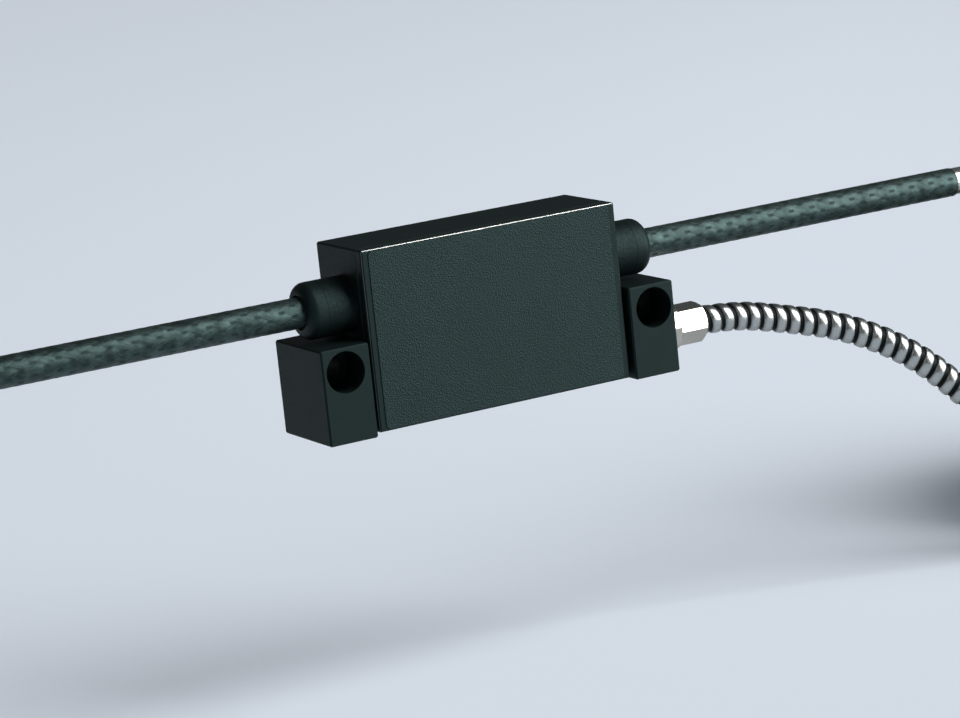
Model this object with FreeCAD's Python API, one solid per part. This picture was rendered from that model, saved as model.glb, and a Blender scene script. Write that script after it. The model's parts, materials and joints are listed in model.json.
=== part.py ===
import FreeCAD, Part
import math
import os
from FreeCAD import Vector

# Inductive linear scale: a reader head that rides on a ball-filled rod, with an armoured cable.
# Millimetres. Origin: midway between the two mounting holes, on the head's back face.
# +X runs along the rod, the front face looks towards -Y, +Z is up.

# Scale rod
tube_od = 5.75
tube_wall = 0.3
tube_length = 219.5
ball_dia = 5.0
ball_gap = 0.01
plug_head_dia = 5.4
plug_head_length = 8.0
plug_spigot = 4.5
plug_bevel = 0.8
bond_gap = 0.05
preload_screw_dia = 3.0
preload_socket_af = 1.5
preload_socket_depth = 2.5

# Where the rod passes the head
rod_depth = 9.5
rod_height = 10.5
running_gap = 0.05
bore_clearance = 0.32

# Head block and its two mounting lugs
block_top = 21.0
block_bottom = -12.55
head_depth = 17.75
lug_span = 74.5
lug_width = 9.75
lug_gap = 0.75
lug_depth = 18.65
lug_bottom = -13.05
lug_web_depth = 13.5
hole_edge = 4.6
hole_dia = 4.5
counterbore_dia = 7.7
counterbore_depth = 7.0
edge_break = 0.3

# Front cover, its seal and the label
cover_thickness = 2.0
cover_bevel = 0.4
seal_thickness = 0.4
seal_margin = 0.6
label_thickness = 0.15
label_side_margin = 1.45
label_end_margin = 0.4
label_corner = 0.5

# Electronics pocket and circuit board
pocket_width = 40.0
pocket_top = 3.4
pocket_bottom = -10.0
pocket_floor = 2.0
pocket_corner = 2.0
ledge_width = 3.0
board_thickness = 1.2
board_setback = 1.95
board_clearance = 0.3
processor_size = 9.0
processor_height = 1.2
amplifier_length = 4.9
amplifier_width = 3.9
amplifier_height = 1.4
amplifier_pitch = 7.0
capacitor_size = 2.0
capacitor_height = 1.2
capacitor_pitch = 3.2
capacitor_count = 5
header_length = 8.0
header_height = 2.4
header_width = 5.0

# Noses: sleeve, guide bush, wiper ring and rounded cap at each end
nose_dia = 10.6
sleeve_insert = 3.0
sleeve_reach = 5.95
bush_wall = 0.8
bush_setback = 1.0
wiper_length = 2.0
wiper_wall = 1.4
cap_length = 3.65
cap_round = 2.4
cap_steps = 3
cap_sides = 28
nose_lug_gap = 0.7

# Sensing coils on their former
former_wall = 0.4
former_flange = 1.0
former_end_gap = 0.1
pickup_thickness = 0.8
pickup_count = 4
pickup_spacing = 0.8
drive_thickness = 0.5
winding_sides = 16
flange_gap = 0.2
flex_width = 8.0
flex_thickness = 0.2
flex_lap = 2.0

# Cable entry in the right lug
entry_depth = 10.5
entry_height = -6.2
ferrule_collar_dia = 9.2
ferrule_collar_length = 3.75
ferrule_hex_af = 7.0
ferrule_hex_length = 6.5
ferrule_hex_bevel = 0.8
ferrule_hex_turn = 19.0
ferrule_spigot_dia = 4.4
ferrule_spigot_length = 4.1
ferrule_socket_depth = 3.5
signal_cable_dia = 2.4
entry_clearance = 0.3
fit_gap = 0.05

# Armoured cable: free lead, tied coil and tail to the connector
conduit_dia = 5.6
conduit_sides = 8
turn_pitch = 5.7
coil_columns = 3
coil_layers = 6
coil_mean_radius = 32.0
coil_sides = 40
coil_centre_x = 166.0
coil_centre_y = -19.5
floor_height = -62.5
tie_width = 8.0
tie_thickness = 1.1
tie_gap = 0.1
arc_share = 0.45
lead_points = [
    (44.0, -10.5, -6.2),
    (54.0, -10.5, -6.2),
    (66.1, -11.9, -9.1),
    (78.4, -14.8, -12.6),
    (90.8, -19.2, -19.7),
    (100.6, -23.9, -30.3),
    (110.5, -29.2, -41.5),
    (120.8, -35.6, -52.5),
    (132.7, -43.9, -58.2),
    (146.0, -51.5, -58.45),
    (158.2, -56.4, -58.45),
]
tail_points = [
    (132.7, -37.2, -29.95),
    (144.6, -51.3, -29.3),
    (161.3, -57.7, -26.4),
    (178.2, -55.0, -23.0),
    (190.7, -45.0, -20.4),
    (197.0, -31.0, -19.5),
    (197.0, -17.0, -19.5),
]

# Nine-way connector on the tail
hood_width = 31.5
hood_neck_width = 17.5
hood_length = 32.5
hood_ear_length = 8.5
hood_thickness = 15.0
hood_wall = 1.6
hood_rear_wall = 3.0
hood_corner = 1.2
crimp_wall = 0.75
crimp_length = 8.0
crimp_insert = 3.0
crimp_sides = 12
flange_width = 30.8
flange_height = 12.5
flange_thickness = 1.0
shell_width = 16.9
shell_height = 8.3
shell_slant = 10.0
shell_corner = 2.0
shell_wall = 0.5
shell_reach = 5.9
insulator_back = 4.0
insulator_face = 0.6
pin_dia = 1.0
pin_sides = 6
pin_reach = 4.6
pin_pitch = 2.77
pin_row_pitch = 2.84
pin_rows = (5, 4)
screw_spacing = 25.0
screw_dia = 2.8
screw_shank_dia = 2.3
screw_reach = 5.0
thread_start = 0.3
screw_clearance = 0.12
screw_head_dia = 6.6
screw_head_length = 11.0
screw_flutes = 14
screw_flute_depth = 0.35

os.makedirs("parts", exist_ok=True)
along_x = Vector(1, 0, 0)
along_y = Vector(0, 1, 0)
along_z = Vector(0, 0, 1)

# Values that follow from the sizes above
tube_radius = tube_od / 2
tube_bore = tube_radius - tube_wall
half_lugs = lug_span / 2
lug_inner = half_lugs - lug_width
half_block = lug_inner - lug_gap
hole_x = half_lugs - hole_edge
rod_y = -rod_depth
body_front = -(head_depth - cover_thickness - seal_thickness)
cover_back = -(head_depth - cover_thickness)
nose_radius = nose_dia / 2
lug_top = rod_height - nose_radius - nose_lug_gap
bush_bore = tube_radius + running_gap
bush_radius = bush_bore + bush_wall
sleeve_inner_end = half_block - sleeve_insert
sleeve_outer_end = half_block + sleeve_reach
clear_bore = tube_radius + bore_clearance
board_front = body_front + board_setback
board_back = board_front + board_thickness
entry_y = -entry_depth
conduit_radius = conduit_dia / 2


def box(x0, x1, y0, y1, z0, z1):
    return Part.makeBox(x1 - x0, y1 - y0, z1 - z0, Vector(x0, y0, z0))


def cylinder_x(radius, x0, x1, y, z):
    return Part.makeCylinder(radius, x1 - x0, Vector(x0, y, z), along_x)


def cylinder_y(radius, y0, y1, x, z):
    return Part.makeCylinder(radius, y1 - y0, Vector(x, y0, z), along_y)


def ring_x(outer, inner, x0, x1, y, z):
    return cylinder_x(outer, x0, x1, y, z).cut(cylinder_x(inner, x0, x1, y, z))


def turned_x(profile, y, z):
    """Solid of revolution about a line along X: profile holds (x, radius) pairs."""
    points = [Vector(x, y, z + radius) for x, radius in profile]
    face = Part.Face(Part.makePolygon(points + points[:1]))
    return face.revolve(Vector(0, y, z), along_x, 360)


def sided_bar(sides, corner, base, axis, length):
    """Bar with flat sides from base along an axis, its edges at the corner radius."""
    across = along_x if axis != along_x else along_y
    upward = along_z if axis != along_z else along_y
    half_step = math.pi / sides
    angles = [half_step * (2 * n + 1) for n in range(sides + 1)]
    outline = [base + (across * math.cos(a) + upward * math.sin(a)) * corner for a in angles]
    return Part.Face(Part.makePolygon(outline)).extrude(axis * length)


def corner_of(sides, flat):
    """Corner radius of a bar whose flats lie at the given distance from its axis."""
    return flat / math.cos(math.pi / sides)


def sided_ring(sides, outer, inner, base, axis, length):
    """Flat-sided ring that stays inside the outer radius and outside the inner one."""
    hole = sided_bar(sides, corner_of(sides, inner), base, axis, length)
    return sided_bar(sides, outer, base, axis, length).cut(hole)


def winding_ring(outer, inner, x0, x1):
    return sided_ring(winding_sides, outer, inner, Vector(x0, rod_y, rod_height), along_x, x1 - x0)


def edges_along(shape, direction):
    """Straight edges that run in the given direction."""
    picked = []
    for edge in shape.Edges:
        run = edge.lastVertex().Point - edge.firstVertex().Point
        if run.Length > 0 and abs(abs(run.normalize().dot(direction)) - 1) < 1e-6:
            picked.append(edge)
    return picked


def edges_on_plane(shape, axis, value):
    """Edges that lie wholly on the plane where the coordinate axis has the given value."""
    return [e for e in shape.Edges if all(abs(getattr(v.Point, axis) - value) < 1e-6 for v in e.Vertexes)]


def mirrored(shape):
    return shape.mirror(Vector(0, 0, 0), along_x)


def save(name, shape):
    shape.exportStep(os.path.join("parts", name + ".step"))
    print(f"{name}: {len(shape.Solids)} solids, {shape.Volume:.1f} mm3")


# Head body: block with coil bore and electronics pocket, a drilled lug at each end
def lug():
    solid = box(lug_inner, half_lugs, -lug_depth, 0, lug_bottom, lug_top)
    solid = solid.makeChamfer(edge_break, solid.Edges)
    web = box(half_block - edge_break, lug_inner + edge_break, -lug_web_depth, 0,
              max(block_bottom, lug_bottom), lug_top - edge_break)
    counterbore = cylinder_y(counterbore_dia / 2, -lug_depth, counterbore_depth - lug_depth, hole_x, 0)
    hole = cylinder_y(hole_dia / 2, -lug_depth, 0, hole_x, 0)
    return solid.fuse(web).cut(counterbore.fuse(hole))


def pocket():
    wide = box(-pocket_width / 2, pocket_width / 2, body_front, board_back, pocket_bottom, pocket_top)
    deep_half = pocket_width / 2 - ledge_width
    deep = box(-deep_half, deep_half, board_back, -pocket_floor, pocket_bottom, pocket_top)
    wide = wide.makeChamfer(pocket_corner, edges_along(wide, along_y))
    deep = deep.makeChamfer(pocket_corner, edges_along(deep, along_y))
    return wide.fuse(deep)


def flex_slot():
    half = flex_width / 2 + board_clearance
    coil_front = rod_y - nose_radius
    return box(-half, half, coil_front, board_back + flex_thickness + board_clearance,
               pocket_top - flex_lap, rod_height)


def head_body():
    block = box(-half_block, half_block, body_front, 0, block_bottom, block_top)
    block = block.makeChamfer(edge_break, edges_along(block, along_y) + edges_on_plane(block, "y", 0))
    body = block.fuse([lug(), mirrored(lug())])
    body = body.cut(pocket())
    body = body.cut(cylinder_x(nose_radius, -half_block, half_block, rod_y, rod_height))
    body = body.cut(flex_slot())
    passage = cylinder_x(signal_cable_dia / 2 + entry_clearance, 0, half_lugs, entry_y, entry_height)
    seat = cylinder_x(ferrule_spigot_dia / 2 + fit_gap, half_lugs - ferrule_spigot_length - fit_gap,
                      half_lugs, entry_y, entry_height)
    return body.cut(passage.fuse(seat)).removeSplitter()


def cover_seal():
    frame = box(-half_block, half_block, cover_back, body_front, block_bottom, block_top)
    frame = frame.makeChamfer(edge_break, edges_along(frame, along_y))
    half = pocket_width / 2 + seal_margin
    window = box(-half, half, cover_back, body_front, pocket_bottom - seal_margin, pocket_top + seal_margin)
    return frame.cut(window)


def front_cover():
    plate = box(-half_block, half_block, -head_depth, cover_back, block_bottom, block_top)
    plate = plate.makeChamfer(edge_break, edges_along(plate, along_y))
    return plate.makeChamfer(cover_bevel, edges_on_plane(plate, "y", -head_depth))


def front_label():
    half = half_block - label_side_margin
    sheet = box(-half, half, -head_depth - label_thickness, -head_depth,
                block_bottom + label_end_margin, block_top - label_end_margin)
    return sheet.makeChamfer(label_corner, edges_along(sheet, along_y))


save("head_body", head_body())
save("cover_seal", cover_seal())
save("front_cover", front_cover())
save("front_label", front_label())


# Circuit board on its ledges, parts on its front, wire header on its back
board_half = pocket_width / 2 - board_clearance
board_low = pocket_bottom + board_clearance
board_high = pocket_top - board_clearance
board_mid = (board_low + board_high) / 2


def on_board(x, width, height, z_size, z=None):
    z = board_mid if z is None else z
    half = width / 2
    return box(x - half, x + half, board_front - height, board_front, z - z_size / 2, z + z_size / 2)


def circuit_board():
    board = box(-board_half, board_half, board_front, board_back, board_low, board_high)
    return board.makeChamfer(pocket_corner, edges_along(board, along_y))


def amplifier_chips():
    first = processor_size / 2 + amplifier_pitch
    places = [side * (first - amplifier_pitch / 2 + n * amplifier_pitch) for side in (-1, 1) for n in (0, 1)]
    chips = [on_board(x, amplifier_width, amplifier_height, amplifier_length) for x in places]
    return Part.makeCompound(chips)


def capacitors():
    start = -(capacitor_count - 1) / 2 * capacitor_pitch
    z = board_high - capacitor_size
    places = [start + n * capacitor_pitch for n in range(capacitor_count)]
    blocks = [on_board(x, capacitor_size, capacitor_height, capacitor_size / 2, z) for x in places]
    return Part.makeCompound(blocks)


header_right = pocket_width / 2 - ledge_width - header_length / 4
wire_header = box(header_right - header_length, header_right, board_back, board_back + header_height,
                  entry_height - header_width / 2, entry_height + header_width / 2)
save("circuit_board", circuit_board())
processor_z = board_mid - capacitor_size / 2
save("processor_chip", on_board(0, processor_size, processor_height, processor_size, processor_z))
save("amplifier_chips", amplifier_chips())
save("filter_capacitors", capacitors())
save("wire_header", wire_header)


# Sensing coils: former around the rod, pick-up windings on it, drive winding over them
former_half = sleeve_inner_end - former_end_gap
barrel_radius = clear_bore + former_wall
pickup_radius = barrel_radius + pickup_thickness
drive_radius = pickup_radius + drive_thickness
winding_half = former_half - former_flange


def coil_former():
    flange_radius = nose_radius - flange_gap
    barrel = winding_ring(barrel_radius, clear_bore, -former_half, former_half)
    left = winding_ring(flange_radius, clear_bore, -former_half, -winding_half)
    right = winding_ring(flange_radius, clear_bore, winding_half, former_half)
    return barrel.fuse([left, right]).removeSplitter()


def pickup_coils():
    length = (2 * winding_half - (pickup_count - 1) * pickup_spacing) / pickup_count
    starts = [-winding_half + n * (length + pickup_spacing) for n in range(pickup_count)]
    return Part.makeCompound([winding_ring(pickup_radius, barrel_radius, x, x + length) for x in starts])


def coil_flex():
    low = pocket_top - flex_lap
    strip = box(-flex_width / 2, flex_width / 2, board_back, board_back + flex_thickness, low, rod_height)
    return strip.cut(cylinder_x(drive_radius, -flex_width, flex_width, rod_y, rod_height))


save("coil_former", coil_former())
save("pickup_coils", pickup_coils())
save("drive_coil", winding_ring(drive_radius, pickup_radius, -winding_half, winding_half))
save("coil_flex", coil_flex())


# Noses: the sleeve plugs the coil bore, carries the guide bush and ends in the wiper's rounded cap
def nose_sleeve():
    return ring_x(nose_radius, bush_radius, sleeve_inner_end, sleeve_outer_end, rod_y, rod_height)


def guide_bush():
    start = sleeve_inner_end + bush_setback
    return ring_x(bush_radius, bush_bore, start, sleeve_outer_end, rod_y, rod_height)


def wiper_ring():
    return winding_ring(bush_bore + wiper_wall, bush_bore, sleeve_outer_end, sleeve_outer_end + wiper_length)


def wiper_cap():
    """Ring of flat facets whose edges lie on the cap's rounded outside."""
    bore, seat = corner_of(cap_sides, clear_bore), corner_of(cap_sides, bush_bore + wiper_wall)
    seat_end, end = sleeve_outer_end + wiper_length, sleeve_outer_end + cap_length
    round_radius = min(cap_round, nose_radius - bore)
    turns = [math.pi / 2 * n / cap_steps for n in range(cap_steps + 1)]
    rounded = [(end - round_radius * (1 - math.sin(a)), nose_radius - round_radius * (1 - math.cos(a)))
               for a in turns]
    inside = [(seat_end, bore), (seat_end, seat), (sleeve_outer_end, seat)]
    angles = [2 * math.pi * n / cap_sides for n in range(cap_sides + 1)]
    rings = [[Vector(x, rod_y + r * math.cos(a), rod_height + r * math.sin(a)) for a in angles]
             for x, r in [(sleeve_outer_end, nose_radius)] + rounded + inside]
    faces = []
    for ring, after in zip(rings, rings[1:] + rings[:1]):
        for n in range(cap_sides):
            quad = [ring[n], ring[n + 1], after[n + 1], after[n], ring[n]]
            faces.append(Part.Face(Part.makePolygon(quad)))
    return Part.makeSolid(Part.makeShell(faces)).removeSplitter()


for maker in (nose_sleeve, guide_bush, wiper_ring, wiper_cap):
    piece = maker()
    save(maker.__name__ + "_right", piece)
    save(maker.__name__ + "_left", mirrored(piece))


# Cable entry: ferrule with round collar, hexagon and conduit socket, and the inner cable
ferrule_end = half_lugs + ferrule_collar_length + ferrule_hex_length
socket_floor = ferrule_end - ferrule_socket_depth


def conduit_ferrule():
    hex_start = half_lugs + ferrule_collar_length
    collar = cylinder_x(ferrule_collar_dia / 2, half_lugs, hex_start, entry_y, entry_height)
    hex_base = Vector(hex_start, entry_y, entry_height)
    hexagon = sided_bar(6, corner_of(6, ferrule_hex_af / 2), hex_base, along_x, ferrule_hex_length)
    hexagon = hexagon.makeChamfer(ferrule_hex_bevel, edges_on_plane(hexagon, "x", ferrule_end))
    hexagon = hexagon.rotated(hex_base, along_x, -ferrule_hex_turn)
    spigot_start = half_lugs - ferrule_spigot_length
    spigot = cylinder_x(ferrule_spigot_dia / 2, spigot_start, half_lugs, entry_y, entry_height)
    bore_radius = signal_cable_dia / 2 + entry_clearance
    bore = cylinder_x(bore_radius, spigot_start, socket_floor, entry_y, entry_height)
    socket = cylinder_x(conduit_radius + fit_gap, socket_floor, ferrule_end, entry_y, entry_height)
    return collar.fuse([hexagon, spigot]).cut(bore.fuse(socket)).removeSplitter()


save("conduit_ferrule", conduit_ferrule())
cable_start = Vector(header_right, entry_y, entry_height)
cable_length = socket_floor - header_right
save("signal_cable", sided_bar(conduit_sides, signal_cable_dia / 2, cable_start, along_x, cable_length))


# Armoured cable: tubes along straight runs and tangent arcs, and the coil's outer shape
def cord_path(points):
    """Wire of straight runs and tangent arcs through the route's points, and its smallest arc radius."""
    route = [Vector(*p) for p in points]
    edges, radii, here = [], [], route[0]
    for before, corner, after in zip(route, route[1:], route[2:]):
        back, ahead = before - corner, after - corner
        setback = arc_share * min(back.Length, ahead.Length)
        back.normalize()
        ahead.normalize()
        half_turn = (math.pi - back.getAngle(ahead)) / 2
        radius = setback / math.tan(half_turn)
        start, end = corner + back * setback, corner + ahead * setback
        inward = (back + ahead).normalize()
        middle = corner + inward * (radius / math.cos(half_turn) - radius)
        edges.append(Part.LineSegment(here, start).toShape())
        edges.append(Part.Arc(start, middle, end).toShape())
        radii.append(radius)
        here = end
    edges.append(Part.LineSegment(here, route[-1]).toShape())
    return Part.Wire(edges), min(radii)


def cord_tube(name, points):
    path, radius = cord_path(points)
    start = Vector(*points[0])
    heading = (Vector(*points[1]) - start).normalize()
    side = heading.cross(along_z).normalize()
    rise = side.cross(heading)
    angles = [2 * math.pi * n / conduit_sides for n in range(conduit_sides + 1)]
    ring = [start + (side * math.cos(a) + rise * math.sin(a)) * conduit_radius for a in angles]
    section = Part.makePolygon(ring)
    tube = path.makePipeShell([section], True, False)
    ratio = tube.Volume / (Part.Face(section).Area * path.Length)
    print(f"{name}: length {path.Length:.1f}, smallest radius {radius:.1f}, volume ratio {ratio:.4f}")
    return tube


coil_bottom = floor_height + tie_thickness + tie_gap
coil_top = coil_bottom + coil_layers * turn_pitch
coil_inner = coil_mean_radius - coil_columns * turn_pitch / 2
coil_outer = coil_mean_radius + coil_columns * turn_pitch / 2


def conduit_coil():
    base = Vector(coil_centre_x, coil_centre_y, coil_bottom)
    return sided_ring(coil_sides, coil_outer, coil_inner, base, along_z, coil_top - coil_bottom)


def coil_tie():
    """Strap round the coil's section, on the far side from the lead."""
    half, t = tie_width / 2, tie_thickness
    near = coil_centre_y + math.sqrt(coil_inner ** 2 - half ** 2) - tie_gap
    far = coil_centre_y + coil_outer + tie_gap
    low, high = coil_bottom - tie_gap, coil_top + tie_gap
    x0, x1 = coil_centre_x - half, coil_centre_x + half
    strap = box(x0, x1, near - t, far + t, low - t, high + t)
    return strap.makeChamfer(t, edges_along(strap, along_x)).cut(box(x0, x1, near, far, low, high))


save("conduit_lead", cord_tube("conduit_lead", lead_points))
save("conduit_coil", conduit_coil())
save("coil_tie", coil_tie())
save("conduit_tail", cord_tube("conduit_tail", tail_points))


# Nine-way connector: hood halves on the tail's end, flange with shell, insulator, pins, thumbscrews
plug_x, _, plug_z = tail_points[-1]
hood_rear = tail_points[-1][1] - crimp_insert + fit_gap
hood_front = hood_rear + hood_length
flange_front = hood_front + flange_thickness
screw_places = [plug_x + side * screw_spacing / 2 for side in (-1, 1)]


def plug_box(half_width, y0, y1, half_height):
    return box(plug_x - half_width, plug_x + half_width, y0, y1, plug_z - half_height, plug_z + half_height)


def d_bar(width, height, y0, y1):
    """Bar along Y with the connector's D outline, wider at the top."""
    lean = height / 2 * math.tan(math.radians(shell_slant))
    top, low = width / 2, width / 2 - 2 * lean
    outline = [(-top, height / 2), (top, height / 2), (low, -height / 2), (-low, -height / 2)]
    points = [Vector(plug_x + x, y0, plug_z + z) for x, z in outline]
    return Part.Face(Part.makePolygon(points + points[:1])).extrude(Vector(0, y1 - y0, 0))


def hood_whole():
    neck = plug_box(hood_neck_width / 2, hood_rear, hood_front, hood_thickness / 2)
    ears = plug_box(hood_width / 2, hood_front - hood_ear_length, hood_front, hood_thickness / 2)
    neck = neck.makeChamfer(hood_corner, edges_along(neck, along_y))
    ears = ears.makeChamfer(hood_corner, edges_along(ears, along_y))
    cavity = plug_box(hood_neck_width / 2 - hood_wall, hood_rear + hood_rear_wall, hood_front,
                      hood_thickness / 2 - hood_wall)
    entry = cylinder_y(conduit_radius + crimp_wall + 2 * fit_gap, hood_rear, hood_rear + hood_rear_wall,
                       plug_x, plug_z)
    seat = plug_box(shell_width / 2, hood_front - insulator_back, hood_front, shell_height / 2)
    bores = [cylinder_y(screw_dia / 2 + screw_clearance, hood_front - hood_ear_length, hood_front, x, plug_z)
             for x in screw_places]
    return neck.fuse(ears).cut(cavity.fuse([entry, seat] + bores)).removeSplitter()


def connector_flange():
    plate = plug_box(flange_width / 2, hood_front, flange_front, flange_height / 2)
    plate = plate.makeChamfer(hood_corner, edges_along(plate, along_y))
    shell = d_bar(shell_width, shell_height, hood_front, flange_front + shell_reach)
    shell = shell.makeChamfer(shell_corner, edges_along(shell, along_y))
    inside = d_bar(shell_width - 2 * shell_wall, shell_height - 2 * shell_wall, hood_front,
                   flange_front + shell_reach)
    inside = inside.makeChamfer(shell_corner - shell_wall, edges_along(inside, along_y))
    bores = [cylinder_y(screw_dia / 2 + screw_clearance, hood_front, flange_front, x, plug_z)
             for x in screw_places]
    return plate.fuse(shell).cut(inside.fuse(bores)).removeSplitter()


def insulator():
    gap = shell_wall + fit_gap
    block = d_bar(shell_width - 2 * gap, shell_height - 2 * gap, hood_front - insulator_back,
                  flange_front + insulator_face)
    return block.makeChamfer(shell_corner - shell_wall, edges_along(block, along_y))


def contact_pins():
    pins, face = [], flange_front + insulator_face
    for row, count in enumerate(pin_rows):
        z = plug_z + (0.5 - row) * pin_row_pitch
        places = [plug_x + (n - (count - 1) / 2) * pin_pitch for n in range(count)]
        pins += [sided_bar(pin_sides, pin_dia / 2, Vector(x, face, z), along_y, pin_reach) for x in places]
    return Part.makeCompound(pins)


def thumbscrew(x):
    """Captive screw: fluted head, relieved shank through the hood's ear, thread beyond the flange."""
    ear_back = hood_front - hood_ear_length - fit_gap
    thread_base = flange_front + thread_start
    shank = cylinder_y(screw_shank_dia / 2, ear_back, thread_base, x, plug_z)
    thread = cylinder_y(screw_dia / 2, thread_base, flange_front + screw_reach, x, plug_z)
    outline = []
    for n in range(2 * screw_flutes + 1):
        a = math.pi * n / screw_flutes
        r = screw_head_dia / 2 - (n % 2) * screw_flute_depth
        outline.append(Vector(x + r * math.cos(a), ear_back - screw_head_length, plug_z + r * math.sin(a)))
    head = Part.Face(Part.makePolygon(outline)).extrude(Vector(0, screw_head_length, 0))
    return shank.fuse([thread, head])


def crimp_sleeve():
    base = Vector(plug_x, hood_rear + crimp_insert - crimp_length, plug_z)
    inner = conduit_radius + fit_gap
    return sided_ring(crimp_sides, inner + crimp_wall, inner, base, along_y, crimp_length)


whole = hood_whole()
reach = hood_width + hood_length
for half, z0, z1 in (("hood_lower", plug_z - reach, plug_z), ("hood_upper", plug_z, plug_z + reach)):
    save(half, whole.common(box(plug_x - reach, plug_x + reach, hood_rear, hood_front, z0, z1)))
save("crimp_sleeve", crimp_sleeve())
save("connector_flange", connector_flange())
save("connector_insulator", insulator())
save("contact_pins", contact_pins())
save("thumbscrew_inner", thumbscrew(screw_places[0]))
save("thumbscrew_outer", thumbscrew(screw_places[1]))


# Scale rod: carbon tube, column of balls, plug in each end, preload screw behind the column
half_tube = tube_length / 2
ball_pitch = ball_dia + ball_gap
ball_count = int((tube_length - 2 * plug_spigot) / ball_pitch)
column_start = -half_tube + plug_spigot
column_end = column_start + ball_count * ball_pitch


def faceted_ball():
    """Ball of twenty flat facets at the origin, its poles on the X axis where it meets its neighbours."""
    radius = ball_dia / 2
    latitude = math.atan(0.5)
    fifth = 2 * math.pi / 5

    def ring(side, twist):
        along, across = side * radius * math.sin(latitude), radius * math.cos(latitude)
        turns = [fifth * n + twist for n in range(5)]
        return [Vector(along, across * math.cos(a), across * math.sin(a)) for a in turns]

    near, far = ring(-1, 0), ring(1, fifth / 2)
    corners = []
    for n in range(5):
        after = (n + 1) % 5
        corners.append((Vector(-radius, 0, 0), near[n], near[after]))
        corners.append((near[n], near[after], far[n]))
        corners.append((far[n], far[after], near[after]))
        corners.append((Vector(radius, 0, 0), far[n], far[after]))
    faces = [Part.Face(Part.makePolygon([a, b, c, a])) for a, b, c in corners]
    return Part.makeSolid(Part.makeShell(faces))


def precision_balls():
    ball = faceted_ball()
    centres = [column_start + (n + 0.5) * ball_pitch for n in range(ball_count)]
    return Part.makeCompound([ball.translated(Vector(x, rod_y, rod_height)) for x in centres])


def end_plug():
    spigot_start, spigot_radius = half_tube - plug_spigot, tube_bore - bond_gap
    tip, head_radius = half_tube + plug_head_length, plug_head_dia / 2
    return turned_x([
        (spigot_start, 0), (spigot_start, spigot_radius), (half_tube, spigot_radius),
        (half_tube, head_radius), (tip - plug_bevel, head_radius), (tip, head_radius - plug_bevel), (tip, 0),
    ], rod_y, rod_height)


def preload_screw():
    tip = half_tube + plug_head_length - plug_bevel
    screw = cylinder_x(preload_screw_dia / 2, column_end, tip, rod_y, rod_height)
    socket_base = Vector(tip - preload_socket_depth, rod_y, rod_height)
    socket = sided_bar(6, corner_of(6, preload_socket_af / 2), socket_base, along_x, preload_socket_depth)
    return screw.cut(socket)


screw_hole = cylinder_x(preload_screw_dia / 2, 0, tube_length, rod_y, rod_height)
save("scale_tube", ring_x(tube_radius, tube_bore, -half_tube, half_tube, rod_y, rod_height))
save("precision_balls", precision_balls())
save("end_plug_left", mirrored(end_plug()))
save("end_plug_right", end_plug().cut(screw_hole))
save("preload_screw", preload_screw())
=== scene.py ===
import json
import math
import bmesh
import bpy
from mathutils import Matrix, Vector


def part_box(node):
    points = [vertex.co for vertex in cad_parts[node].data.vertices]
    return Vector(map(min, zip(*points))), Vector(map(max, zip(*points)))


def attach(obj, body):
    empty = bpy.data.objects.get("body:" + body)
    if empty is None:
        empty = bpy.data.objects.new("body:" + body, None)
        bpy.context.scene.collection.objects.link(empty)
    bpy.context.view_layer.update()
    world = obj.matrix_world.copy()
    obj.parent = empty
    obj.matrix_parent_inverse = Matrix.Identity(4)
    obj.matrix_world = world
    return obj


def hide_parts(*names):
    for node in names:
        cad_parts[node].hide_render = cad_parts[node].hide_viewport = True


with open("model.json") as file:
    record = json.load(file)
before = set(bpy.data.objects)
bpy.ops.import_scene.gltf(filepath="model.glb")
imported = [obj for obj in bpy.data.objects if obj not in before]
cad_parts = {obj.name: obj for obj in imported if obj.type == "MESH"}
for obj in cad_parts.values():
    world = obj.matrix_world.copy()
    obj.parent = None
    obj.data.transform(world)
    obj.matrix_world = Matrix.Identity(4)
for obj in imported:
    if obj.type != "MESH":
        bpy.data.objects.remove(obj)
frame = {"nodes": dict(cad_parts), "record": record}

mm = 0.001
weld = 1e-6  # m, points nearer than this become one
scene = bpy.context.scene
cadNodes = frame["nodes"]
slotOf = {part["node"]: part["material_slot"] for part in frame["record"]["subparts"]}
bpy.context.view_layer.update()  # the CAD model's box, before anything is dressed
scene.view_settings.view_transform = "Standard"
print("frame loaded:", len(cadNodes), "nodes")


# small helpers for node trees
def feed(tree, socket, value):
    if isinstance(value, bpy.types.NodeSocket):
        tree.links.new(value, socket)
    else:
        socket.default_value = value


def put(tree, kind, modes=None, feeds=None):
    node = tree.nodes.new(kind)
    for key, value in (modes or {}).items():
        setattr(node, key, value)
    for key, value in (feeds or {}).items():
        feed(tree, node.inputs[key], value)
    return node.outputs


def calc(tree, operation, *values):
    node = tree.nodes.new("ShaderNodeMath")
    node.operation = operation
    for socket, value in zip(node.inputs, values):
        feed(tree, socket, value)
    return node.outputs[0]


def calcVector(tree, operation, *values):
    node = tree.nodes.new("ShaderNodeVectorMath")
    node.operation = operation
    for socket, value in zip(node.inputs, values):
        feed(tree, socket, value)
    return node.outputs["Vector"]


def scaled(tree, vector, factor):
    return put(tree, "ShaderNodeVectorMath", {"operation": "SCALE"}, {0: vector, "Scale": factor})["Vector"]


def graded(tree, value, limits):
    start, end, low, high = limits
    feeds = {"Value": value, "From Min": start, "From Max": end, "To Min": low, "To Max": high}
    return put(tree, "ShaderNodeMapRange", {}, feeds)["Result"]


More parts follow.
